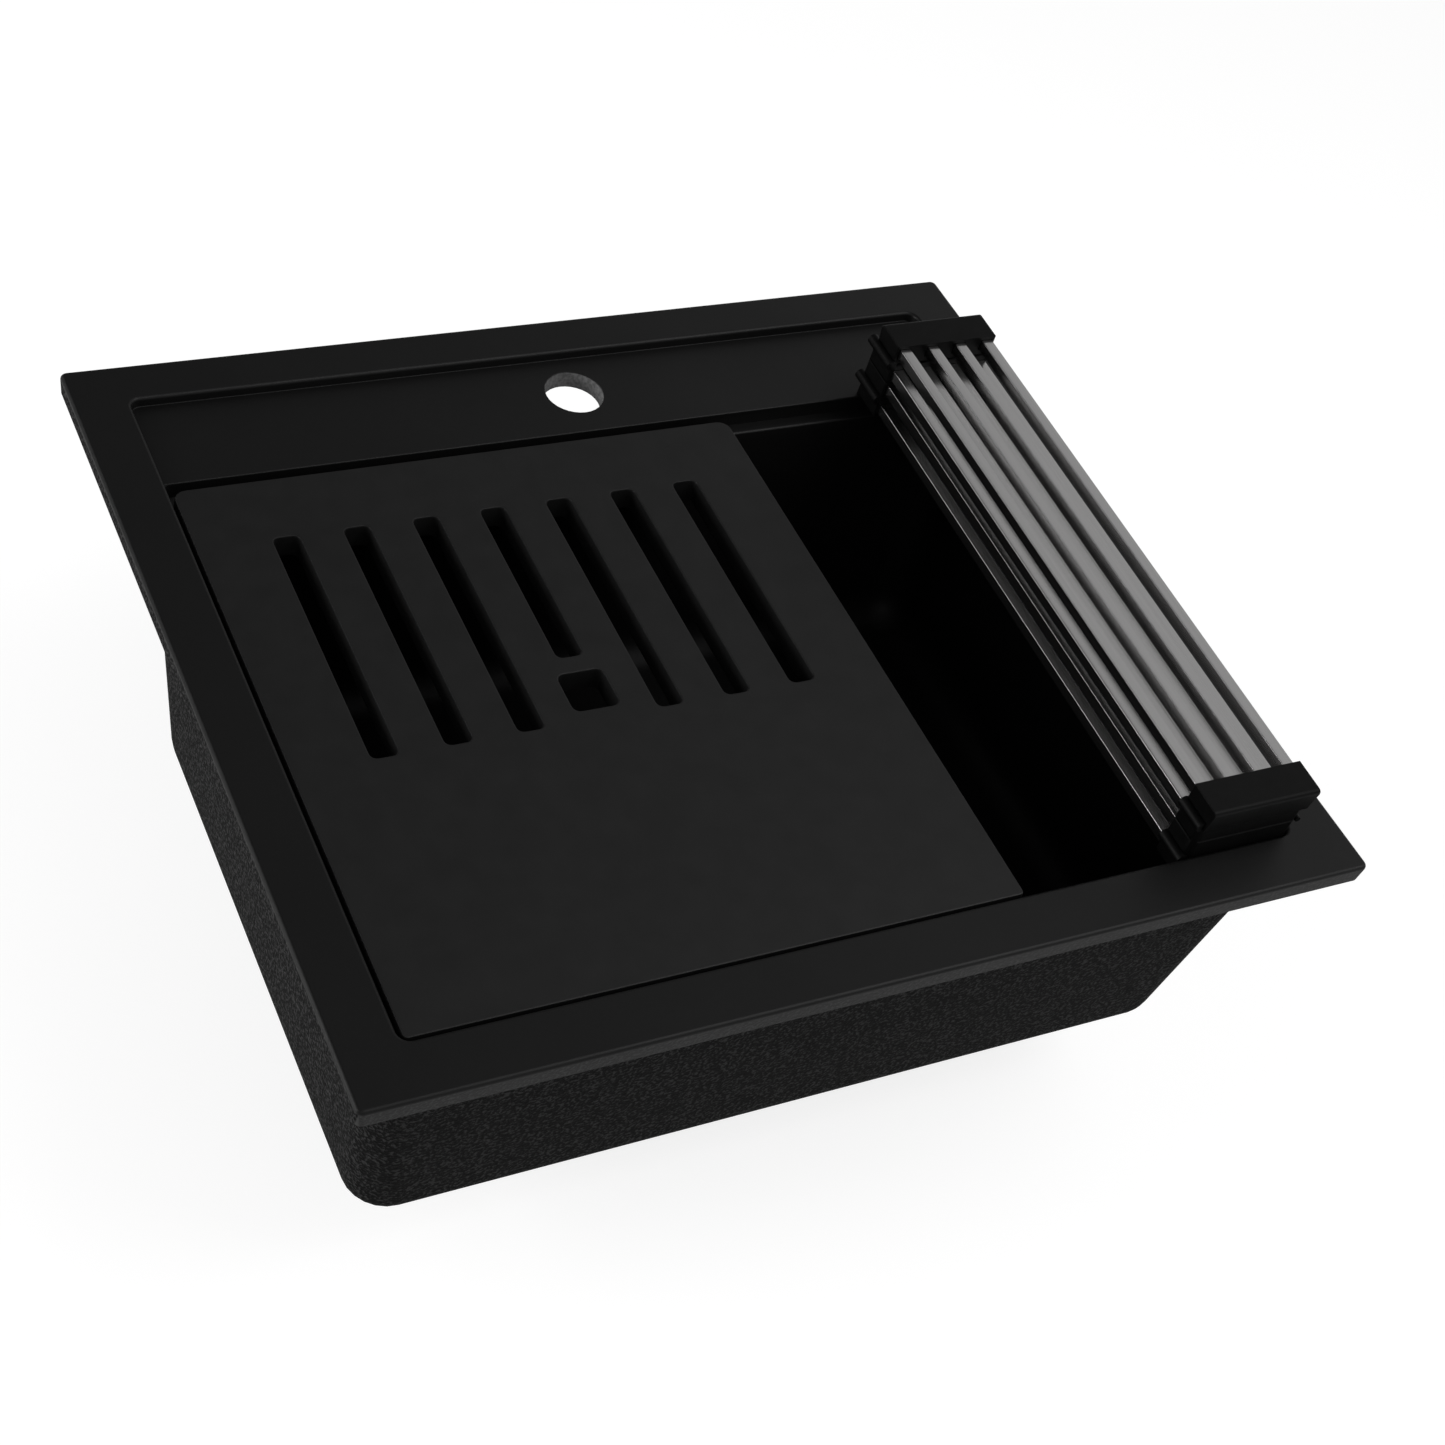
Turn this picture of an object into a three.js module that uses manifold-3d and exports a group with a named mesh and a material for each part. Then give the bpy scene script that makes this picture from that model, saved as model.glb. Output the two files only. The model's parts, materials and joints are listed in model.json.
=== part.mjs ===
// Workstation kitchen sink: a composite drop-in sink with a tap deck, a cutting board that slides
// on the bowl's front and back ledges, a drying rack of four hinged panels that is folded into a
// stack, and a basket strainer in the bowl's floor.
//
// Millimetres. X runs along the front of the sink to the right, Y from the front to the back and
// Z up. The origin is the centre of the rim's outline on the plane that rests on the worktop.

import * as THREE from 'three';
import { mergeVertices } from 'three/addons/utils/BufferGeometryUtils.js';
import Module from 'manifold-3d';

const wasm = await Module();
wasm.setup();

// Rim, deck and ledges
const rimLength = 635;
const rimDepth = 558.8;
const rimHeight = 13;
const rimWidth = 35;
const backRimWidth = 31.7;
const rimCornerRadius = 4.5;
const rimEdgeRadius = 2.5;
const rimDraft = 0.8;
const openingCornerRadius = 7;
const openingEdgeRadius = 2.4;
const deckDrop = 7;
const deckDepth = 70.9;
const deckThickness = 12;
const deckEdgeRadius = 1;
const deckFootRadius = 0.5;
const deckPadMargin = 3;
const deckPadBackMargin = 24;
const haunchReach = 12;
const haunchThickness = 21;
const ledgeDrop = 18;
const ledgeEdgeRadius = 1.5;
const frontLedgeWidth = 11;
const backLedgeWidth = 8.5;
const tapHoleRadius = 19.6;
const tapHoleChamfer = 0.6;
const tapHoleOffsetX = 5.6;
const tapHoleBackMargin = 33;

// Bowl
const bowlDepth = 190;
const bowlFloorThickness = 10;
const bowlCornerRadius = 24;
const bowlFloorFillet = 20;
const shellCornerRadius = 26;
const shellBottomRadius = 16;
const sideWall = 10.5;
const frontWall = 18.6;
const backWall = 8;
const sideDraft = 0.088;
const backDraft = 0.16;
const frontInnerDraft = 0.064;
const frontOuterDraft = 0.115;

// Cutting board
const boardWidth = 373.7;
const boardThickness = 16.5;
const boardFrontCornerRadius = 3;
const boardBackCornerRadius = 8;
const boardBevel = 1.2;
const boardSideGap = 2.4;
const boardFrontGap = 1.9;
const boardBackGap = 12.3;
const boardLipThickness = 3;
const boardLipReach = 9.5;
const slotCount = 7;
const slotPitch = 44.1;
const slotWidth = 16.5;
const slotLength = 177.3;
const slotCornerRadius = 4;
const slotBackMargin = 49.9;
const middleSlotLength = 128.1;
const gripHoleSize = 29;
const gripHoleCornerRadius = 4.5;
const gripHoleGap = 12.8;

// Drying rack
const rackWidth = 77;
const rackDeckSeat = 7;
const rackSideGap = 1.9;
const rackFrontGap = 0.8;
const panelCount = 4;
const layerPitch = 15.3;
const layerGap = 0.35;
const barsPerPanel = 4;
const barSize = 8;
const barWall = 0.8;
const barPitch = 21.3;
const barOffset = 1;
const barEdgeRadius = 0.8;
const frontStripLength = 21;
const backStripLength = 28;
const stripEndWall = 6;
const stripEdgeRadius = 1.5;
const stripBevel = 0.6;
const topPanelLead = 3.4;
const capLength = 23.7;
const capDraft = 1.6;
const capBevel = 0.4;
const capEdgeRadius = 3;
const skirtDrop = 3;
const skirtThickness = 1.2;
const leftKnuckle = { radius: 3.8, offset: 0.7 };
const rightKnuckle = { radius: 1.9, offset: 0.2 };

// Basket strainer
const drainRadius = 45;
const drainRecessDepth = 3;
const flangeRadius = 56.5;
const flangeThickness = 1.5;
const flangeSealThickness = 0.9;
const flangeSealWidth = 8;
const cupWall = 1.6;
const cupDepth = 46;
const cupConeDrop = 7;
const outletRadius = 23;
const outletWall = 4;
const outletLength = 22;
const gasketThickness = 3;
const gasketWidth = 15;
const washerThickness = 1;
const lockNutHeight = 12;
const lockNutWidth = 7;
const lockNutRibCount = 8;
const lockNutRibSize = 6;
const basketWall = 1;
const basketClearance = 2;
const basketDepth = 42;
const basketRimWidth = 3;
const basketSlotCount = 6;
const basketSlotWidth = 2.4;
const basketSlotHeight = 22;
const basketHoleCount = 8;
const basketHoleRadius = 2.2;
const knobRadius = 9;
const knobHeight = 7;
const stemRadius = 3;
const stemNutRadius = 6;
const stopperRadius = 26;
const stopperThickness = 4;

// Clearances and facets
const fitGap = 0.3;
const overcut = 5;
const cornerSteps = 6;
const filletSteps = 5;
const edgeSteps = 3;
const arcDivisions = 3;
const smallArcDivisions = 2;
const roundSides = 32;
const smallRoundSides = 20;
const weldTolerance = 1e-4;

// Heights and lines that the pieces share
const rimTop = rimHeight;
const openingHalfX = rimLength / 2 - rimWidth;
const openingFrontY = rimWidth - rimDepth / 2;
const openingBackY = rimDepth / 2 - backRimWidth;
const deckTop = rimTop - deckDrop;
const deckFrontY = openingBackY - deckDepth;
const ledgeTop = rimTop - ledgeDrop;
const bowlFloor = rimTop - bowlDepth;
const bowlUnderside = bowlFloor - bowlFloorThickness;
const recessFloor = bowlFloor - drainRecessDepth;
const bowlFrontY = openingFrontY + frontLedgeWidth;
const bowlBackY = deckFrontY - backLedgeWidth;
const drainY = bowlFrontY / 2 + bowlBackY / 2;

// Returns a closed solid for a geometry whose shared vertices are merged.
function solidFrom(geometry) {
  const bare = geometry.clone();
  bare.deleteAttribute('normal');
  bare.deleteAttribute('uv');
  const merged = mergeVertices(bare, weldTolerance);
  return new wasm.Manifold(new wasm.Mesh({
    numProp: 3,
    vertProperties: new Float32Array(merged.attributes.position.array),
    triVerts: new Uint32Array(merged.index.array),
  }));
}

function geometryFrom(solid) {
  const mesh = solid.getMesh();
  const geometry = new THREE.BufferGeometry();
  geometry.setAttribute('position', new THREE.BufferAttribute(mesh.vertProperties, 3));
  geometry.setIndex(new THREE.BufferAttribute(mesh.triVerts, 1));
  return geometry;
}

// A rounded rectangle's outline, counter-clockwise, with the same number of points whatever its size.
function outline({ xMin, xMax, yMin, yMax, radius }, inset = 0) {
  const turn = Math.max(radius - inset, fitGap);
  const corners = [
    [xMax - inset - turn, yMin + inset + turn],
    [xMax - inset - turn, yMax - inset - turn],
    [xMin + inset + turn, yMax - inset - turn],
    [xMin + inset + turn, yMin + inset + turn],
  ];
  return corners.flatMap(([x, y], corner) =>
    Array.from({ length: cornerSteps + 1 }, (_, step) => {
      const angle = (corner - 1 + step / cornerSteps) * Math.PI / 2;
      return new THREE.Vector2(x + turn * Math.cos(angle), y + turn * Math.sin(angle));
    }));
}

// Joins a stack of outlines, lowest first, into one closed body.
function loft(rings) {
  const count = rings[0].points.length;
  const positions = rings.flatMap(({ z, points }) => points.flatMap(({ x, y }) => [x, y, z]));
  const faces = THREE.ShapeUtils.triangulateShape(rings[0].points, []);
  const top = (rings.length - 1) * count;
  const index = faces.flatMap(([a, b, c]) => [a, c, b, top + a, top + b, top + c]);
  for (let level = 0; level < rings.length - 1; level += 1) {
    for (let point = 0; point < count; point += 1) {
      const a = level * count + point;
      const b = level * count + (point + 1) % count;
      index.push(a, b, b + count, a, b + count, a + count);
    }
  }
  const geometry = new THREE.BufferGeometry();
  geometry.setAttribute('position', new THREE.Float32BufferAttribute(positions, 3));
  geometry.setIndex(index);
  return solidFrom(geometry);
}

function roundedRectangle({ xMin, xMax, yMin, yMax, radius, frontRadius = radius }) {
  const shape = new THREE.Shape();
  shape.moveTo(xMax - frontRadius, yMin);
  shape.absarc(xMax - frontRadius, yMin + frontRadius, frontRadius, -Math.PI / 2, 0);
  shape.absarc(xMax - radius, yMax - radius, radius, 0, Math.PI / 2);
  shape.absarc(xMin + radius, yMax - radius, radius, Math.PI / 2, Math.PI);
  shape.absarc(xMin + frontRadius, yMin + frontRadius, frontRadius, Math.PI, Math.PI * 1.5);
  return shape;
}

function plate(rectangle, zMin, zMax) {
  const depth = zMax - zMin;
  const geometry = new THREE.ExtrudeGeometry(roundedRectangle(rectangle), {
    depth,
    bevelEnabled: false,
    curveSegments: arcDivisions,
  });
  return solidFrom(geometry.translate(0, 0, zMin));
}

function block(xMin, xMax, yMin, yMax, zMin, zMax) {
  const geometry = new THREE.BoxGeometry(xMax - xMin, yMax - yMin, zMax - zMin);
  return solidFrom(geometry.translate((xMin + xMax) / 2, (yMin + yMax) / 2, (zMin + zMax) / 2));
}

// Turns a closed profile of [radius, height] points about the vertical axis through (x, y).
function turned(profile, x = 0, y = 0, sides = roundSides) {
  const points = [...profile, profile[0]].map(([radius, z]) => new THREE.Vector2(radius, z));
  const geometry = new THREE.LatheGeometry(points, sides);
  return solidFrom(geometry.rotateX(Math.PI / 2).translate(x, y, 0));
}

function ring(innerRadius, outerRadius, zMin, zMax) {
  return turned([[innerRadius, zMin], [outerRadius, zMin], [outerRadius, zMax], [innerRadius, zMax]]);
}

function disc(radius, zMin, zMax, x = 0, y = 0, sides = roundSides) {
  return turned([[0, zMin], [radius, zMin], [radius, zMax], [0, zMax]], x, y, sides);
}

function namedMesh(name, geometry, color, roughness, metalness = 0) {
  const mesh = new THREE.Mesh(geometry, new THREE.MeshStandardMaterial({ color, roughness, metalness }));
  mesh.name = name;
  return mesh;
}

const compositeMesh = (name, solid) => namedMesh(name, geometryFrom(solid), 0x1d1d1e, 0.5);
const boardMesh = (name, solid) => namedMesh(name, geometryFrom(solid), 0x202021, 0.6);
const siliconeMesh = (name, solid) => namedMesh(name, geometryFrom(solid), 0x262626, 0.55);
const steelMesh = (name, geometry) => namedMesh(name, geometry, 0xb9b4ac, 0.35, 1);
const coatedMesh = (name, solid) => namedMesh(name, geometryFrom(solid), 0x17171a, 0.4);
const rubberMesh = (name, solid) => namedMesh(name, geometryFrom(solid), 0x151515, 0.8);
const nylonMesh = (name, solid) => namedMesh(name, geometryFrom(solid), 0xd8d8d4, 0.6);

// --- Sink body ---

// The bowl's inside at a height, drawn in towards the floor.
function bowlOutline(z) {
  const drop = ledgeTop - z;
  return {
    xMin: -openingHalfX + sideDraft * drop,
    xMax: openingHalfX - sideDraft * drop,
    yMin: bowlFrontY + frontInnerDraft * drop,
    yMax: bowlBackY - backDraft * drop,
    radius: bowlCornerRadius,
  };
}

// The bowl's outside at a height below the rim.
function shellOutline(z) {
  return {
    xMin: -openingHalfX - sideWall - sideDraft * z,
    xMax: openingHalfX + sideWall + sideDraft * z,
    yMin: bowlFrontY - frontWall - frontOuterDraft * z,
    yMax: bowlBackY + backWall + backDraft * z,
    radius: shellCornerRadius,
  };
}

// Rings that turn a wall into a floor at the given height by a quarter round.
function filletRings(outlineAt, floor, radius) {
  return Array.from({ length: filletSteps + 1 }, (_, step) => {
    const angle = (1 - step / filletSteps) * Math.PI / 2;
    const z = floor + radius * (1 - Math.sin(angle));
    return { z, points: outline(outlineAt(z), radius * (1 - Math.cos(angle))) };
  });
}

// Rings that open a wall out to the flat surface above it by a quarter round. The given function
// returns the wall's points at a height, grown outwards by an amount.
function edgeRings(grownPoints, top, radius) {
  return Array.from({ length: edgeSteps + 1 }, (_, step) => {
    const angle = step / edgeSteps * Math.PI / 2;
    const z = top - radius * (1 - Math.sin(angle));
    return { z, points: grownPoints(z, radius * (1 - Math.cos(angle))) };
  });
}

function rimSlab() {
  const rectangle = (inset) => ({
    xMin: -rimLength / 2 + inset,
    xMax: rimLength / 2 - inset,
    yMin: -rimDepth / 2 + inset,
    yMax: rimDepth / 2 - inset,
    radius: rimCornerRadius,
  });
  const edge = Array.from({ length: filletSteps + 1 }, (_, step) => {
    const angle = step / filletSteps * Math.PI / 2;
    const z = rimTop - rimEdgeRadius * (1 - Math.sin(angle));
    return { z, points: outline(rectangle(0), rimEdgeRadius * (1 - Math.cos(angle))) };
  });
  return loft([{ z: 0, points: outline(rectangle(rimDraft)) }, ...edge]);
}

// The round that the deck's front edge keeps, along the whole opening.
function deckEdgeRound() {
  const geometry = new THREE.CylinderGeometry(deckEdgeRadius, deckEdgeRadius, rimLength, roundSides);
  geometry.rotateZ(Math.PI / 2);
  return solidFrom(geometry.translate(0, deckFrontY + deckEdgeRadius, deckTop - deckEdgeRadius));
}

function sinkBody() {
  const inTheRim = rimHeight / 2;
  const shellTop = { z: inTheRim, points: outline(shellOutline(0)) };
  const shell = loft([
    ...filletRings(shellOutline, bowlUnderside, shellBottomRadius),
    { z: 0, points: outline(shellOutline(0)) },
    shellTop,
  ]);
  const underDeck = {
    xMin: -openingHalfX - sideWall + deckPadMargin,
    xMax: openingHalfX + sideWall - deckPadMargin,
    yMin: bowlBackY - backLedgeWidth,
    yMax: rimDepth / 2 - deckPadBackMargin,
    radius: openingCornerRadius,
  };
  const deckPad = plate(underDeck, deckTop - deckThickness, inTheRim);
  const haunch = plate({ ...underDeck, yMax: deckFrontY + haunchReach }, deckTop - haunchThickness, inTheRim);
  const opening = {
    xMin: -openingHalfX,
    xMax: openingHalfX,
    yMin: openingFrontY,
    yMax: openingBackY,
    radius: openingCornerRadius,
  };
  const trackPlan = { ...opening, yMax: deckFrontY };
  const aboveTheRim = rimTop + overcut;
  const deckRecess = loft([
    ...filletRings(() => opening, deckTop, deckFootRadius),
    ...edgeRings((z, grow) => outline(opening, -grow), rimTop, openingEdgeRadius),
    { z: aboveTheRim, points: outline(opening, -openingEdgeRadius) },
  ]);
  const track = loft([
    { z: ledgeTop, points: outline(trackPlan) },
    ...edgeRings((z, grow) => outline(trackPlan, -grow), rimTop, openingEdgeRadius),
    { z: aboveTheRim, points: outline(trackPlan, -openingEdgeRadius) },
  ]);
  const deckEdge = block(
    -openingHalfX,
    openingHalfX,
    deckFrontY - fitGap,
    deckFrontY + deckEdgeRadius,
    deckTop - deckEdgeRadius,
    deckTop + deckFootRadius,
  ).subtract(deckEdgeRound());
  const towardsLedges = (z, grow) => {
    const inside = bowlOutline(z);
    return outline({ ...inside, yMin: inside.yMin - grow, yMax: inside.yMax + grow });
  };
  const bowl = loft([
    ...filletRings(bowlOutline, bowlFloor, bowlFloorFillet),
    ...edgeRings(towardsLedges, ledgeTop, ledgeEdgeRadius),
    { z: ledgeTop + fitGap, points: towardsLedges(ledgeTop, ledgeEdgeRadius) },
  ]);
  const tapHole = turned([
    [0, deckTop - haunchThickness],
    [tapHoleRadius, deckTop - haunchThickness],
    [tapHoleRadius, deckTop - tapHoleChamfer],
    [tapHoleRadius + tapHoleChamfer, deckTop],
    [tapHoleRadius + tapHoleChamfer, rimTop],
    [0, rimTop],
  ], tapHoleOffsetX, openingBackY - tapHoleBackMargin);
  const drainHole = disc(drainRadius, bowlUnderside - overcut, bowlFloor + overcut, 0, drainY);
  const drainRecess = disc(flangeRadius + fitGap, recessFloor, bowlFloor + overcut, 0, drainY);
  return rimSlab()
    .add(shell)
    .add(deckPad)
    .add(haunch)
    .subtract(deckRecess)
    .subtract(track)
    .subtract(deckEdge)
    .subtract(bowl)
    .subtract(tapHole)
    .subtract(drainHole)
    .subtract(drainRecess);
}

// --- Cutting board ---

function cuttingBoard() {
  const board = {
    xMin: -openingHalfX + boardSideGap,
    xMax: -openingHalfX + boardSideGap + boardWidth,
    yMin: openingFrontY + boardFrontGap,
    yMax: deckFrontY - boardBackGap,
    radius: boardBackCornerRadius,
    frontRadius: boardFrontCornerRadius,
  };
  const centreX = (board.xMin + board.xMax) / 2;
  const slotBackY = board.yMax - slotBackMargin;
  const middleSlot = (slotCount - 1) / 2;
  const shape = roundedRectangle(board);
  for (let slot = 0; slot < slotCount; slot += 1) {
    const x = centreX + (slot - middleSlot) * slotPitch;
    const length = slot === middleSlot ? middleSlotLength : slotLength;
    shape.holes.push(roundedRectangle({
      xMin: x - slotWidth / 2,
      xMax: x + slotWidth / 2,
      yMin: slotBackY - length,
      yMax: slotBackY,
      radius: slotCornerRadius,
    }));
  }
  const gripHoleBackY = slotBackY - middleSlotLength - gripHoleGap;
  shape.holes.push(roundedRectangle({
    xMin: centreX - gripHoleSize / 2,
    xMax: centreX + gripHoleSize / 2,
    yMin: gripHoleBackY - gripHoleSize,
    yMax: gripHoleBackY,
    radius: gripHoleCornerRadius,
  }));
  const bottom = ledgeTop + fitGap;
  const slab = new THREE.ExtrudeGeometry(shape, {
    depth: boardThickness - 2 * boardBevel,
    curveSegments: smallArcDivisions,
    bevelThickness: boardBevel,
    bevelSize: boardBevel,
    bevelOffset: -boardBevel,
    bevelSegments: 2,
  });
  const lip = plate({
    ...board,
    yMin: board.yMax - boardLipReach - boardBackCornerRadius,
    yMax: board.yMax + boardLipReach,
  }, bottom, bottom + boardLipThickness);
  return solidFrom(slab.translate(0, 0, bottom + boardBevel)).add(lip);
}

// --- Drying rack ---

// The folded rack stands with its front end on the front ledge and its back end on the deck's edge.
const rackFrontY = openingFrontY + rackFrontGap;
const rackRun = deckFrontY - rackFrontY;
const rackRise = deckTop - ledgeTop;
const rackLength = Math.hypot(rackRun, rackRise) + rackDeckSeat;

// A distance from the rack's front or back end, as a place along its length.
function fromEnd(end, distance) {
  return end === 'front' ? distance : rackLength - distance;
}

function stripLength(end) {
  return end === 'front' ? frontStripLength : backStripLength;
}

// A box in a panel's own frame that runs between two distances from the rack's end.
function stripBlock(end, xMin, xMax, from, to, zMin, zMax) {
  const a = fromEnd(end, from);
  const b = fromEnd(end, to);
  return block(xMin, xMax, Math.min(a, b), Math.max(a, b), zMin, zMax);
}

// A plain strip across a panel's bars: a bar of silicone with rounded long edges, and with corners
// that are round in plan, so that they enter the opening's corners.
function plainStrip(end, height) {
  const length = stripLength(end);
  const section = roundedRectangle({
    xMin: -rackWidth / 2,
    xMax: rackWidth / 2,
    yMin: 0,
    yMax: height,
    radius: stripEdgeRadius,
  });
  const geometry = new THREE.ExtrudeGeometry(section, {
    depth: length - 2 * stripBevel,
    curveSegments: 1,
    bevelThickness: stripBevel,
    bevelSize: stripBevel,
    bevelOffset: -stripBevel,
    bevelSegments: 1,
  });
  const back = Math.max(fromEnd(end, 0), fromEnd(end, length));
  const plan = plate({
    xMin: -rackWidth / 2,
    xMax: rackWidth / 2,
    yMin: 0,
    yMax: rackLength,
    radius: openingCornerRadius - rackSideGap,
  }, -overcut, height + overcut);
  return solidFrom(geometry.rotateX(Math.PI / 2).translate(0, back - stripBevel, 0)).intersect(plan);
}

// The top panel's strip has a round nose and an outer face that leans in below it. At the front it
// also hangs as a thin skirt over the end of the panel below.
function cappedStrip(end, height) {
  const section = new THREE.Shape();
  section.moveTo(fromEnd(end, capLength), 0);
  section.lineTo(fromEnd(end, capLength), height);
  section.lineTo(fromEnd(end, capEdgeRadius), height);
  section.quadraticCurveTo(fromEnd(end, 0), height, fromEnd(end, 0), height - capEdgeRadius);
  section.lineTo(fromEnd(end, capDraft), 0);
  if (end === 'front') {
    const skirtBack = topPanelLead - fitGap;
    section.lineTo(skirtBack - skirtThickness, -skirtDrop);
    section.lineTo(skirtBack, -skirtDrop);
    section.lineTo(skirtBack, 0);
  }
  const geometry = new THREE.ExtrudeGeometry(section, {
    depth: rackWidth - 2 * capBevel,
    curveSegments: filletSteps - 1,
    bevelThickness: capBevel,
    bevelSize: capBevel,
    bevelOffset: -capBevel,
    bevelSegments: 1,
  });
  geometry.rotateX(Math.PI / 2);
  geometry.rotateZ(Math.PI / 2);
  return solidFrom(geometry.translate(capBevel - rackWidth / 2, 0, 0));
}

// A cylinder along a hinge that runs between two distances from the rack's end.
function hingeCylinder(end, x, z, radius, from, to) {
  const geometry = new THREE.CylinderGeometry(radius, radius, to - from, smallRoundSides);
  return solidFrom(geometry.translate(x, fromEnd(end, (from + to) / 2), z));
}

// Panels fold in turn at the left and at the right: this gives the hinge above a level.
function hingeAbove(level) {
  const side = level % 2 === 0 ? -1 : 1;
  const { radius, offset } = side < 0 ? leftKnuckle : rightKnuckle;
  return { x: side * (rackWidth / 2 + offset), radius };
}

const panelHeight = layerPitch - layerGap;
const hingeHeight = panelHeight + layerGap / 2;
const barReach = rackLength - 2 * (stripEndWall + fitGap);

function barHeight(level) {
  return panelHeight / 2 + (level % 2 === 0 ? -barOffset : barOffset);
}

function barX(bar) {
  return (bar - (barsPerPanel - 1) / 2) * barPitch;
}

function rackStrip(level, end) {
  const isTop = level === panelCount - 1;
  let strip = isTop ? cappedStrip(end, layerPitch) : plainStrip(end, panelHeight);
  if (!isTop) {
    const { x, radius } = hingeAbove(level);
    strip = strip.add(hingeCylinder(end, x, hingeHeight, radius, 0, stripLength(end)));
  }
  if (level > 0) {
    const below = hingeHeight - layerPitch;
    const lead = isTop ? topPanelLead : 0;
    const from = (end === 'front' ? lead : -lead) - fitGap;
    const to = from + stripLength(end) + 2 * fitGap;
    const { x, radius } = hingeAbove(level - 1);
    strip = strip.subtract(hingeCylinder(end, x, below, radius + fitGap, from, to));
  }
  const half = barSize / 2 + fitGap;
  const z = barHeight(level);
  for (let bar = 0; bar < barsPerPanel; bar += 1) {
    const x = barX(bar);
    const reach = backStripLength + overcut;
    strip = strip.subtract(stripBlock(end, x - half, x + half, stripEndWall, reach, z - half, z + half));
  }
  return strip;
}

// A bar is a square steel tube, open at the ends inside its sockets.
function rackBar() {
  const square = (half, radius) => roundedRectangle({
    xMin: -half, xMax: half, yMin: -half, yMax: half, radius,
  });
  const section = square(barSize / 2, barEdgeRadius);
  section.holes.push(square(barSize / 2 - barWall, barEdgeRadius / 2));
  const geometry = new THREE.ExtrudeGeometry(section, {
    depth: barReach,
    bevelEnabled: false,
    curveSegments: 1,
  });
  return geometry.rotateX(Math.PI / 2).translate(0, stripEndWall + fitGap + barReach, 0);
}

function rackPanel(level) {
  const panel = new THREE.Group();
  for (const end of ['front', 'back']) {
    panel.add(siliconeMesh(`rack_panel_${level + 1}_${end}_strip`, rackStrip(level, end)));
  }
  for (let bar = 0; bar < barsPerPanel; bar += 1) {
    const mesh = steelMesh(`rack_panel_${level + 1}_bar_${bar + 1}`, rackBar());
    mesh.position.set(barX(bar), 0, barHeight(level));
    panel.add(mesh);
  }
  const isTop = level === panelCount - 1;
  panel.position.set(0, isTop ? -topPanelLead : 0, level * layerPitch);
  return panel;
}

function dryingRack() {
  const rack = new THREE.Group();
  for (let level = 0; level < panelCount; level += 1) {
    rack.add(rackPanel(level));
  }
  rack.rotation.x = Math.atan2(rackRise, rackRun);
  rack.position.set(openingHalfX - rackSideGap - rackWidth / 2, rackFrontY, ledgeTop + fitGap);
  return rack;
}

// --- Basket strainer, about the drain's axis ---

const cupRadius = drainRadius - fitGap - cupWall / 2;
const cupFloor = bowlFloor - cupDepth;
const coneFloor = cupFloor - cupConeDrop;
const outletBottom = coneFloor - outletLength;
const threadBore = cupRadius + fitGap;

function strainerBody() {
  const flangeUnder = bowlFloor - flangeThickness;
  const inner = cupRadius - cupWall;
  const bore = outletRadius - outletWall;
  return turned([
    [flangeRadius, flangeUnder],
    [flangeRadius, bowlFloor],
    [inner + cupWall, bowlFloor],
    [inner, flangeUnder],
    [inner, cupFloor],
    [bore, coneFloor + cupWall],
    [bore, outletBottom],
    [outletRadius, outletBottom],
    [outletRadius, coneFloor],
    [cupRadius, cupFloor - cupWall],
    [cupRadius, flangeUnder],
  ]);
}

function flangeSeal() {
  const bottom = recessFloor + fitGap;
  return ring(flangeRadius - flangeSealWidth, flangeRadius - fitGap, bottom, bottom + flangeSealThickness);
}

const gasketTop = bowlUnderside - fitGap;
const washerTop = gasketTop - gasketThickness - fitGap;
const lockNutTop = washerTop - washerThickness - fitGap;

function undersideGasket() {
  return ring(threadBore, threadBore + gasketWidth, gasketTop - gasketThickness, gasketTop);
}

function frictionWasher() {
  return ring(threadBore, threadBore + gasketWidth, washerTop - washerThickness, washerTop);
}

function lockNut() {
  const outer = threadBore + lockNutWidth;
  const bottom = lockNutTop - lockNutHeight;
  let nut = ring(threadBore, outer, bottom, lockNutTop);
  for (let rib = 0; rib < lockNutRibCount; rib += 1) {
    const half = lockNutRibSize / 2;
    const box = block(outer - half, outer + half, -half, half, bottom, lockNutTop);
    nut = nut.add(box.rotate([0, 0, rib * 360 / lockNutRibCount]));
  }
  return nut;
}

// The basket stands on its stopper, whose lower edge seats on the cone below the cup.
const basketRadius = cupRadius - cupWall - basketClearance;
const stopperSeatRadius = stopperRadius - stopperThickness / 2;
const coneRun = (cupRadius - cupWall - stopperSeatRadius) / (cupRadius - cupWall - outletRadius + outletWall);
const stopperBottom = cupFloor - (cupConeDrop - cupWall) * coneRun + fitGap;
const basketFloor = stopperBottom + stopperThickness + fitGap;
const basketTop = basketFloor + basketDepth;

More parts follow.
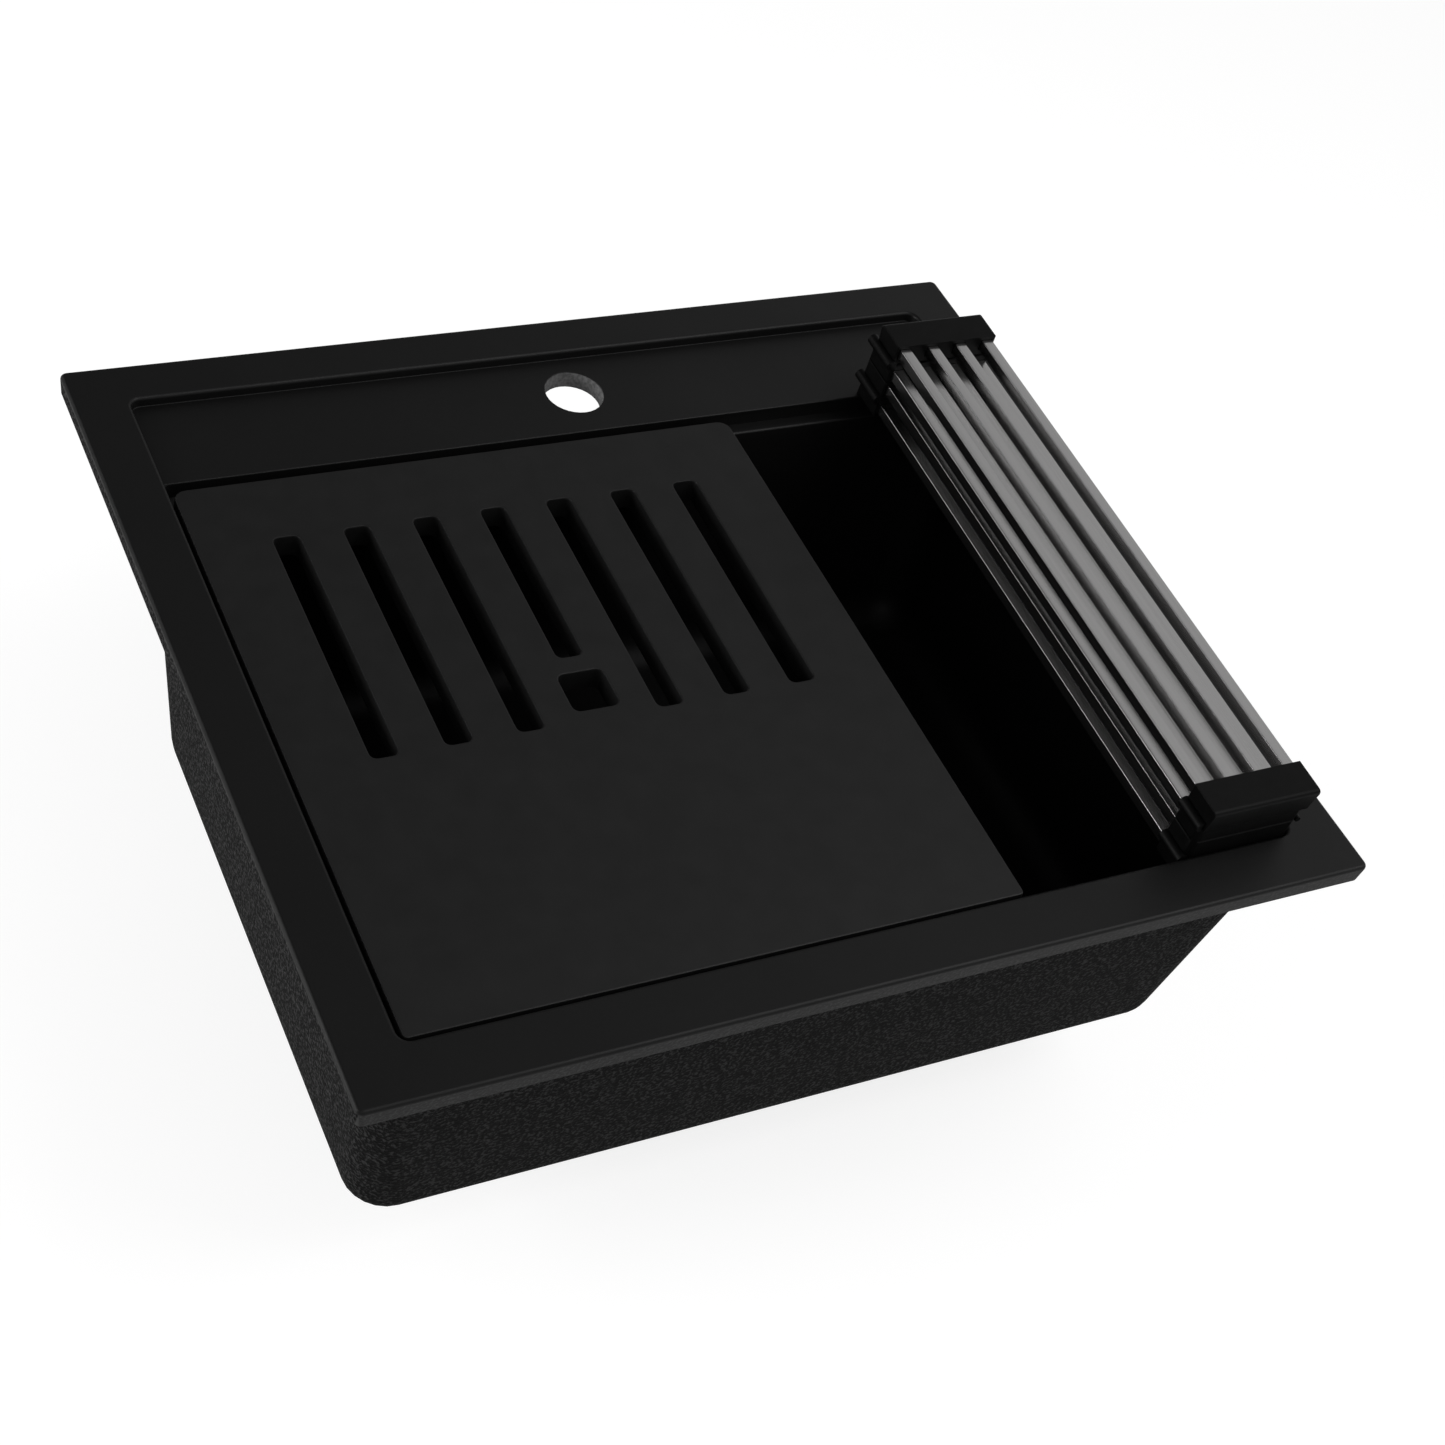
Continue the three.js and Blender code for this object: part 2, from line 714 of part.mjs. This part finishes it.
function strainerBasket() {
  const inner = basketRadius - basketWall;
  let basket = turned([
    [stemRadius + fitGap, basketFloor],
    [basketRadius - basketRimWidth, basketFloor],
    [basketRadius, basketFloor + basketRimWidth],
    [basketRadius, basketTop],
    [inner, basketTop],
    [inner, basketFloor + basketRimWidth + basketWall / 2],
    [inner - basketRimWidth, basketFloor + basketWall],
    [stemRadius + fitGap, basketFloor + basketWall],
  ]);
  for (let slot = 0; slot < basketSlotCount; slot += 1) {
    const middle = (basketFloor + basketTop) / 2;
    const half = basketSlotWidth / 2;
    const top = middle + basketSlotHeight / 2;
    const cut = block(-drainRadius, drainRadius, -half, half, top - basketSlotHeight, top);
    basket = basket.subtract(cut.rotate([0, 0, slot * 180 / basketSlotCount]));
  }
  const holeCircle = (inner + stemNutRadius) / 2;
  for (let hole = 0; hole < basketHoleCount; hole += 1) {
    const angle = hole * 2 * Math.PI / basketHoleCount;
    const x = holeCircle * Math.cos(angle);
    const y = holeCircle * Math.sin(angle);
    const bottom = basketFloor - overcut;
    basket = basket.subtract(disc(basketHoleRadius, bottom, basketFloor + overcut, x, y, smallRoundSides));
  }
  return basket;
}

function basketKnob() {
  const top = basketTop - fitGap;
  const neck = top - knobHeight;
  const collar = basketFloor + basketWall + fitGap;
  return turned([
    [0, stopperBottom],
    [stemRadius, stopperBottom],
    [stemRadius, collar],
    [stemNutRadius, collar],
    [stemNutRadius, collar + basketWall],
    [stemRadius, collar + 2 * basketWall],
    [stemRadius, neck],
    [knobRadius, neck + knobHeight / 2],
    [knobRadius, top - basketWall],
    [knobRadius - basketWall, top],
    [0, top],
  ], 0, 0, smallRoundSides);
}

function basketStopper() {
  const top = stopperBottom + stopperThickness;
  const hole = stemRadius + fitGap;
  return turned([
    [hole, stopperBottom],
    [stopperSeatRadius, stopperBottom],
    [stopperRadius, top],
    [hole, top],
  ]);
}

function strainer() {
  const group = new THREE.Group();
  group.add(coatedMesh('strainer_body', strainerBody()));
  group.add(rubberMesh('flange_seal', flangeSeal()));
  group.add(rubberMesh('underside_gasket', undersideGasket()));
  group.add(nylonMesh('friction_washer', frictionWasher()));
  group.add(nylonMesh('lock_nut', lockNut()));
  group.add(coatedMesh('strainer_basket', strainerBasket()));
  group.add(coatedMesh('basket_knob', basketKnob()));
  group.add(rubberMesh('basket_stopper', basketStopper()));
  group.position.y = drainY;
  return group;
}

const sink = new THREE.Group();
sink.add(compositeMesh('sink_body', sinkBody()));
sink.add(boardMesh('cutting_board', cuttingBoard()));
sink.add(dryingRack());
sink.add(strainer());

export default sink;
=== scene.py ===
import json
import math

import bpy
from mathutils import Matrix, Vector


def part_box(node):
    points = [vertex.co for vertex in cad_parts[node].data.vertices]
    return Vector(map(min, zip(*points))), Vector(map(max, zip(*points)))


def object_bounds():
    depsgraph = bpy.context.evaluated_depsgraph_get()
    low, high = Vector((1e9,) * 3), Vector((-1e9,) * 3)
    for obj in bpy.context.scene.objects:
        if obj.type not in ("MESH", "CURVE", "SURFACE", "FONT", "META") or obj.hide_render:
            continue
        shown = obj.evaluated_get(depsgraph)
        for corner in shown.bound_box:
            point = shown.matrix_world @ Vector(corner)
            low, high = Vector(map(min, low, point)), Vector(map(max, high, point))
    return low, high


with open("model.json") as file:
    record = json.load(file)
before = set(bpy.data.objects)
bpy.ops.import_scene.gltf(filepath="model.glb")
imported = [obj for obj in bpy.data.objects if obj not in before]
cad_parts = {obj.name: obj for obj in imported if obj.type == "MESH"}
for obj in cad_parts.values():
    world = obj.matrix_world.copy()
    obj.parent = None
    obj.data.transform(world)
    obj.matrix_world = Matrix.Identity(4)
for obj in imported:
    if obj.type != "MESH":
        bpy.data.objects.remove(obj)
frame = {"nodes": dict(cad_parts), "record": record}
cad_box = [list(corner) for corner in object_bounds()]
nodes = frame["nodes"]

MM = 0.001
ORIGIN = (0.0, 0.0, 0.0)
WHITE = (1.0, 1.0, 1.0, 1.0)

# --- Camera, solved from the photo's rim: metres, degrees, and millimetres for lens and sensor ---

CAMERA_PLACE = (-0.6521, -0.8654, 1.0136)
CAMERA_TURN = (43.683, -12.126, -23.987)
CAMERA_LENS = 60.907
CAMERA_SENSOR = 36.0
CAMERA_SHIFT = (0.0461, -0.0143)


def make_camera():
    data = bpy.data.cameras.new("camera")
    data.lens = CAMERA_LENS
    data.sensor_width = CAMERA_SENSOR
    data.shift_x, data.shift_y = CAMERA_SHIFT
    camera = bpy.data.objects.new("camera", data)
    camera.location = CAMERA_PLACE
    camera.rotation_euler = [math.radians(angle) for angle in CAMERA_TURN]
    bpy.context.scene.collection.objects.link(camera)
    bpy.context.scene.camera = camera


# --- Node helpers ---


class Shader:
    """A material's node tree, with short calls for the nodes that the finishes share."""

    def __init__(self, name):
        self.material = bpy.data.materials.new(name)
        self.material.use_nodes = True
        self.nodes = self.material.node_tree.nodes
        self.links = self.material.node_tree.links
        self.surface = self.nodes["Principled BSDF"]
        self.place = self.nodes.new("ShaderNodeTexCoord").outputs["Object"]

    def join(self, value, socket):
        """Links a socket's value, or sets a constant on the socket itself."""
        if isinstance(value, bpy.types.NodeSocket):
            self.links.new(value, socket)
        else:
            socket.default_value = value

    def math(self, operation, first, second=0.0):
        node = self.nodes.new("ShaderNodeMath")
        node.operation = operation
        self.join(first, node.inputs[0])
        self.join(second, node.inputs[1])
        return node.outputs[0]

    def largest(self, first, *others):
        for other in others:
            first = self.math("MAXIMUM", first, other)
        return first

    def scaled(self, factors, tilt):
        """The place, turned back by a tilt about X and then scaled along each axis."""
        turn = self.nodes.new("ShaderNodeMapping")
        turn.inputs["Rotation"].default_value = (-tilt, 0.0, 0.0)
        self.links.new(self.place, turn.inputs["Vector"])
        node = self.nodes.new("ShaderNodeMapping")
        node.inputs["Scale"].default_value = factors
        self.links.new(turn.outputs["Vector"], node.inputs["Vector"])
        return node.outputs["Vector"]

    def noise(self, scale, detail=2.0, vector=None):
        """Noise at the place, or at another vector, with a patch to each unit of vector times scale."""
        node = self.nodes.new("ShaderNodeTexNoise")
        node.inputs["Scale"].default_value = scale
        node.inputs["Detail"].default_value = detail
        self.links.new(vector or self.place, node.inputs["Vector"])
        return node.outputs["Fac"]

    def spread(self, value, low, high, to_low=0.0, to_high=1.0):
        """Maps low to to_low and high to to_high, and holds the ends."""
        node = self.nodes.new("ShaderNodeMapRange")
        self.join(value, node.inputs["Value"])
        self.join(low, node.inputs["From Min"])
        self.join(high, node.inputs["From Max"])
        self.join(to_low, node.inputs["To Min"])
        self.join(to_high, node.inputs["To Max"])
        return node.outputs["Result"]

    def even(self, noise, to_low=0.0, to_high=1.0):
        """Spreads a noise's middle values, which are nearly all of them, over a range."""
        return self.spread(noise, 0.3, 0.7, to_low, to_high)

    def mix(self, factor, first, second):
        node = self.nodes.new("ShaderNodeMix")
        node.data_type = "RGBA"
        self.join(factor, node.inputs["Factor"])
        self.join(first, node.inputs["A"])
        self.join(second, node.inputs["B"])
        return node.outputs["Result"]

    def axes(self):
        node = self.nodes.new("ShaderNodeSeparateXYZ")
        self.links.new(self.place, node.inputs[0])
        return node.outputs

    def bump(self, height, distance, strength, under=None):
        node = self.nodes.new("ShaderNodeBump")
        node.inputs["Distance"].default_value = distance
        self.join(strength, node.inputs["Strength"])
        self.links.new(height, node.inputs["Height"])
        if under is not None:
            self.links.new(under, node.inputs["Normal"])
        return node.outputs["Normal"]

    def finish(self, **sockets):
        for name, value in sockets.items():
            self.join(value, self.surface.inputs[name.replace("_", " ")])
        return self.material


def grey(level, warmth=0.0):
    return (level * (1 + warmth), level, level * (1 - warmth), 1.0)


# --- The composite: smooth matt inside and on top, coarse and speckled on the mould's back ---

RIM_HALF_LENGTH, RIM_HALF_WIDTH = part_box("sink_body")[1][:2]
LIP_SIDE_BAND = (RIM_HALF_LENGTH - 1.5 * MM, RIM_HALF_LENGTH - 1.0 * MM)
LIP_FRONT_BAND = (RIM_HALF_WIDTH - 1.6 * MM, RIM_HALF_WIDTH - 1.1 * MM)
LIP_TOP_BAND = (10.2 * MM, 11.2 * MM)
LIP_FRONT_ROUGHENING = 0.4

# Planes halfway through the bowl's walls, at the rim's underside, and how far they lean in with depth.
SIDE_PLANE, SIDE_DRAFT = 283.8 * MM, 0.088
FRONT_PLANE, FRONT_DRAFT = 238.0 * MM, 0.075
BACK_PLANE, BACK_DRAFT = 172.0 * MM, 0.16
CORNER_ALLOWANCE = 4.0 * MM
BOTTOM_DEPTH = 182.0 * MM
PLANE_BLUR = 0.3 * MM
BACK_FACE_BAND = (5.2 * MM, 5.8 * MM)
BOWL_BAND = (5.5 * MM, 12.0 * MM)

TAP_HOLE_PLACE = (5.6 * MM, 214.7 * MM)
TAP_HOLE_RADIUS = 20.2 * MM
TAP_HOLE_BLUR = 0.2 * MM
TAP_HOLE_TOP_BAND = (-5.8 * MM, -5.2 * MM)

GRAIN_SCALE = 480.0
GRAIN_BUMP = 1.4 * MM
FINE_SCALE = 2400.0
FINE_BUMP = 0.12 * MM
CLOUD_SCALE = 16.0
SMOOTH_ROUGHNESS, COARSE_ROUGHNESS = 0.5, 0.85
TOP_GLOSS, BOWL_GLOSS = 0.65, 0.12


def past_plane(shader, place, plane, draft, depth):
    """How far a point lies beyond a plane that leans in by its draft on the way down."""
    reach = shader.math("SUBTRACT", place, plane)
    return shader.math("ADD", reach, shader.math("MULTIPLY", depth, draft))


def mould_back(shader, x, y, depth):
    """1 on the outer faces of the bowl and of the thick part under the deck, 0 elsewhere."""
    side = past_plane(shader, shader.math("ABSOLUTE", x), SIDE_PLANE, SIDE_DRAFT, depth)
    front = past_plane(shader, shader.math("MULTIPLY", y, -1.0), FRONT_PLANE, FRONT_DRAFT, depth)
    back = past_plane(shader, y, BACK_PLANE, BACK_DRAFT, depth)
    corner = shader.math("ADD", shader.math("ADD", side, back), CORNER_ALLOWANCE)
    bottom = shader.math("SUBTRACT", depth, BOTTOM_DEPTH)
    outer = shader.largest(side, front, back, bottom, corner)
    beyond = shader.spread(outer, -PLANE_BLUR, PLANE_BLUR)
    return shader.math("MULTIPLY", beyond, shader.spread(depth, *BACK_FACE_BAND))


def lip_faces(shader, x, y, z):
    """1 on the rim's left and right faces, less on its front and back ones, 0 elsewhere."""
    side = shader.spread(shader.math("ABSOLUTE", x), *LIP_SIDE_BAND)
    front = shader.spread(shader.math("ABSOLUTE", y), *LIP_FRONT_BAND, 0.0, LIP_FRONT_ROUGHENING)
    below_top = shader.spread(z, *LIP_TOP_BAND, 1.0, 0.0)
    return shader.math("MULTIPLY", shader.largest(side, front), below_top)


def tap_hole_wall(shader, x, y, depth):
    """1 on the tap hole's sawn wall, 0 elsewhere."""
    across = shader.math("SUBTRACT", x, TAP_HOLE_PLACE[0])
    along = shader.math("SUBTRACT", y, TAP_HOLE_PLACE[1])
    across = shader.math("MULTIPLY", across, across)
    along = shader.math("MULTIPLY", along, along)
    square = shader.math("ADD", across, along)
    outer_radius = TAP_HOLE_RADIUS + TAP_HOLE_BLUR
    near = shader.spread(square, TAP_HOLE_RADIUS ** 2, outer_radius ** 2, 1.0, 0.0)
    return shader.math("MULTIPLY", near, shader.spread(depth, *TAP_HOLE_TOP_BAND))


def composite_finish():
    shader = Shader("composite")
    x, y, z = shader.axes()
    depth = shader.math("MULTIPLY", z, -1.0)
    outside = shader.largest(mould_back(shader, x, y, depth), lip_faces(shader, x, y, z))
    sawn = tap_hole_wall(shader, x, y, depth)
    inside = shader.spread(depth, *BOWL_BAND)
    matt = shader.largest(outside, sawn)

    grain = shader.noise(GRAIN_SCALE, detail=3.0)
    fine = shader.noise(FINE_SCALE)
    cloud = shader.noise(CLOUD_SCALE, detail=3.0)
    smooth_colour = shader.mix(shader.even(fine), grey(0.002), grey(0.0045))
    coarse_colour = shader.mix(shader.spread(grain, 0.5, 0.62), grey(0.0005), grey(0.04))
    sawn_colour = shader.mix(shader.spread(grain, 0.35, 0.65), grey(0.1), grey(0.17))
    colour = shader.mix(outside, smooth_colour, coarse_colour)
    colour = shader.mix(sawn, colour, sawn_colour)

    soft = shader.bump(fine, FINE_BUMP, strength=0.35)
    coarse = shader.bump(grain, GRAIN_BUMP, strength=outside, under=soft)
    gloss = shader.spread(inside, 0.0, 1.0, TOP_GLOSS, BOWL_GLOSS)
    gloss = shader.math("MULTIPLY", gloss, shader.even(cloud, 0.92, 1.08))
    gloss = shader.math("MULTIPLY", gloss, shader.spread(matt, 0.0, 1.0, 1.0, 0.0))
    return shader.finish(
        Base_Color=colour,
        Roughness=shader.spread(matt, 0.0, 1.0, SMOOTH_ROUGHNESS, COARSE_ROUGHNESS),
        Normal=coarse,
        Specular_IOR_Level=0.08,
        Coat_Weight=gloss,
        Coat_Roughness=0.42,
        Coat_IOR=1.25,
        Coat_Normal=soft,
    )


# --- The other finishes ---

STEEL_DARK = (0.39, 0.386, 0.385, 1.0)
STEEL_LIGHT = (0.46, 0.455, 0.454, 1.0)
BRUSH_SCALE_ACROSS, BRUSH_SCALE_ALONG = 4200.0, 7.0


def board_finish():
    """Black plastic with the fine, even texture of a chopping surface."""
    shader = Shader("board_plastic")
    fine = shader.noise(3200.0)
    broad = shader.noise(60.0, detail=3.0)
    return shader.finish(
        Base_Color=shader.mix(shader.even(broad), grey(0.003), grey(0.005)),
        Roughness=shader.even(fine, 0.42, 0.58),
        Normal=shader.bump(fine, 0.12 * MM, strength=0.5),
        Specular_IOR_Level=0.26,
    )


def silicone_finish():
    """Black silicone, softer to the light than the board."""
    shader = Shader("silicone")
    fine = shader.noise(1800.0, detail=3.0)
    broad = shader.noise(90.0)
    return shader.finish(
        Base_Color=shader.mix(shader.even(broad), grey(0.0012), grey(0.0022)),
        Roughness=shader.even(fine, 0.4, 0.55),
        Normal=shader.bump(fine, 0.08 * MM, strength=0.3),
        Specular_IOR_Level=0.08,
    )


def bar_tilt():
    """The angle at which the folded rack's bars climb towards the back."""
    low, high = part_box("rack_panel_1_bar_1")
    return math.asin((high[2] - low[2] - (high[0] - low[0])) / (high[1] - low[1]))


def bar_finish():
    """Stainless steel with fine brushing along the bars."""
    shader = Shader("bar_steel")
    scales = (BRUSH_SCALE_ACROSS, BRUSH_SCALE_ALONG, BRUSH_SCALE_ACROSS)
    brush = shader.noise(1.0, vector=shader.scaled(scales, bar_tilt()))
    return shader.finish(
        Base_Color=shader.mix(shader.spread(brush, 0.25, 0.75), STEEL_DARK, STEEL_LIGHT),
        Metallic=1.0,
        Roughness=shader.spread(brush, 0.25, 0.75, 0.17, 0.25),
        Normal=shader.bump(brush, 0.002 * MM, strength=0.3),
    )


def coated_finish():
    """Steel with a thin black coating, a little polished where it is handled."""
    shader = Shader("strainer_steel")
    fine = shader.noise(1600.0, detail=3.0)
    broad = shader.noise(120.0)
    return shader.finish(
        Base_Color=shader.mix(shader.even(fine), grey(0.006), grey(0.010)),
        Roughness=shader.even(broad, 0.3, 0.42),
        Normal=shader.bump(fine, 0.05 * MM, strength=0.4),
    )


def rubber_finish():
    """Dull black rubber of the seal, the gasket and the stopper."""
    shader = Shader("seal_rubber")
    fine = shader.noise(1500.0, detail=3.0)
    return shader.finish(
        Base_Color=shader.mix(shader.even(fine), grey(0.006), grey(0.011)),
        Roughness=0.75,
        Normal=shader.bump(fine, 0.1 * MM, strength=0.4),
    )


def nylon_finish():
    """Slightly warm white nylon."""
    shader = Shader("nylon")
    fine = shader.noise(900.0)
    return shader.finish(
        Base_Color=shader.mix(shader.even(fine), grey(0.62, 0.02), grey(0.68, 0.02)),
        Roughness=0.5,
        Normal=shader.bump(fine, 0.08 * MM, strength=0.3),
    )


# --- CAD nodes with their finishes and softened edges ---

FINISHES = {
    "composite": composite_finish,
    "board_plastic": board_finish,
    "silicone": silicone_finish,
    "bar_steel": bar_finish,
    "strainer_steel": coated_finish,
    "seal_rubber": rubber_finish,
    "nylon": nylon_finish,
}
EDGE_SOFTENING = {
    "composite": 0.9 * MM,
    "board_plastic": 0.25 * MM,
    "silicone": 0.35 * MM,
    "bar_steel": 0.2 * MM,
    "strainer_steel": 0.2 * MM,
    "seal_rubber": 0.2 * MM,
    "nylon": 0.3 * MM,
}
EDGE_SEGMENTS = 3
EDGE_ANGLE = math.radians(35)
FLAT_ANGLE = math.radians(0.5)
WELD_REACH = 0.002 * MM


def soften(piece, width):
    """Rounds the piece's sharp edges a little, as moulding or finishing leaves them."""
    weld = piece.modifiers.new("weld", "WELD")
    weld.merge_threshold = WELD_REACH
    dissolve = piece.modifiers.new("flats", "DECIMATE")
    dissolve.decimate_type = "DISSOLVE"
    dissolve.angle_limit = FLAT_ANGLE
    bevel = piece.modifiers.new("edges", "BEVEL")
    bevel.width = width
    bevel.segments = EDGE_SEGMENTS
    bevel.limit_method = "ANGLE"
    bevel.angle_limit = EDGE_ANGLE
    bevel.harden_normals = True
    weighted = piece.modifiers.new("normals", "WEIGHTED_NORMAL")
    weighted.keep_sharp = False
    piece.data.polygons.foreach_set("use_smooth", [True] * len(piece.data.polygons))


def dress_nodes():
    materials = {slot: make_finish() for slot, make_finish in FINISHES.items()}
    for part in frame["record"]["subparts"]:
        piece = nodes[part["node"]]
        slot = part["material_slot"]
        piece.data.materials.clear()
        piece.data.materials.append(materials[slot])
        soften(piece, EDGE_SOFTENING[slot])


# --- Floor, world and lamps ---

FLOOR_SIZE = 8.0
FLOOR_DROP = 4.0 * MM
FLOOR_GREY = 0.3
FLOOR_LIFT = 0.79
FLOOR_LIFT_IN_MIRRORS = 0.72

# The sky's strength rises from the first to the second value over a band of directions.
SKY_LIGHT = (0.12, 0.57)
SKY_DIRECTION = (1.0, -0.5, 0.0)
SKY_BAND = (-0.045, 0.27)

# Each lamp's name, place, target, size in metres and power in watts.
LAMPS = (
    ("overhead", (1.15, -0.75, 1.95), ORIGIN, (1.5, 1.5), 24),
    ("front", (-1.3, -1.75, 1.7), ORIGIN, (1.4, 1.0), 7.5),
    ("back", (-1.75, 1.55, 1.2), ORIGIN, (1.6, 1.2), 12),
    ("left", (-2.2, 0.3, 0.5), (-0.3, 0, -0.05), (1.0, 1.0), 29),
)


def floor_finish():
    """Pale floor that shows white to the camera, except where a shadow falls on it."""
    shader = Shader("floor")
    colour = shader.mix(shader.noise(3.0), grey(FLOOR_GREY), grey(FLOOR_GREY * 1.02))
    rays = shader.nodes.new("ShaderNodeLightPath").outputs
    mirrored = shader.math("MULTIPLY", rays["Is Glossy Ray"], FLOOR_LIFT_IN_MIRRORS)
    seen = shader.largest(rays["Is Camera Ray"], rays["Is Transmission Ray"], mirrored)
    return shader.finish(
        Base_Color=colour,
        Roughness=0.9,
        Specular_IOR_Level=0.1,
        Emission_Color=WHITE,
        Emission_Strength=shader.math("MULTIPLY", seen, FLOOR_LIFT),
    )


def make_floor():
    mesh = bpy.data.meshes.new("floor")
    half = FLOOR_SIZE / 2
    level = cad_box[0][2] - FLOOR_DROP
    turns = ((-1, -1), (1, -1), (1, 1), (-1, 1))
    corners = [(half * across, half * along, level) for across, along in turns]
    mesh.from_pydata(corners, [], [(0, 1, 2, 3)])
    mesh.materials.append(floor_finish())
    floor = bpy.data.objects.new("floor", mesh)
    bpy.context.scene.collection.objects.link(floor)


def make_world():
    """White to the camera; a plain sky that is brighter on the right lights the object."""
    world = bpy.data.worlds.new("studio")
    bpy.context.scene.world = world
    world.use_nodes = True
    tree = world.node_tree
    place = tree.nodes.new("ShaderNodeTexCoord").outputs["Generated"]
    direction = tree.nodes.new("ShaderNodeVectorMath")
    direction.operation = "DOT_PRODUCT"
    direction.inputs[1].default_value = SKY_DIRECTION
    tree.links.new(place, direction.inputs[0])
    sky = tree.nodes.new("ShaderNodeMapRange")
    sky.inputs["From Min"].default_value, sky.inputs["From Max"].default_value = SKY_BAND
    sky.inputs["To Min"].default_value, sky.inputs["To Max"].default_value = SKY_LIGHT
    tree.links.new(direction.outputs["Value"], sky.inputs["Value"])
    rays = tree.nodes.new("ShaderNodeLightPath").outputs
    white = tree.nodes.new("ShaderNodeMath")
    white.operation = "MAXIMUM"
    tree.links.new(rays["Is Camera Ray"], white.inputs[0])
    tree.links.new(rays["Is Transmission Ray"], white.inputs[1])
    strength = tree.nodes.new("ShaderNodeMapRange")
    strength.inputs["To Max"].default_value = 1.0
    tree.links.new(white.outputs[0], strength.inputs["Value"])
    tree.links.new(sky.outputs["Result"], strength.inputs["To Min"])
    background = tree.nodes["Background"]
    background.inputs["Color"].default_value = WHITE
    tree.links.new(strength.outputs["Result"], background.inputs["Strength"])


def make_lamp(name, place, target, size, power):
    data = bpy.data.lights.new(name, "AREA")
    data.shape = "RECTANGLE"
    data.size, data.size_y = size
    data.energy = power
    lamp = bpy.data.objects.new(name, data)
    lamp.location = place
    lamp.rotation_euler = (Vector(target) - Vector(place)).to_track_quat("-Z", "Y").to_euler()
    bpy.context.scene.collection.objects.link(lamp)


make_camera()
dress_nodes()
make_floor()
make_world()
for lamp in LAMPS:
    make_lamp(*lamp)
bpy.context.scene.view_settings.view_transform = "Standard"
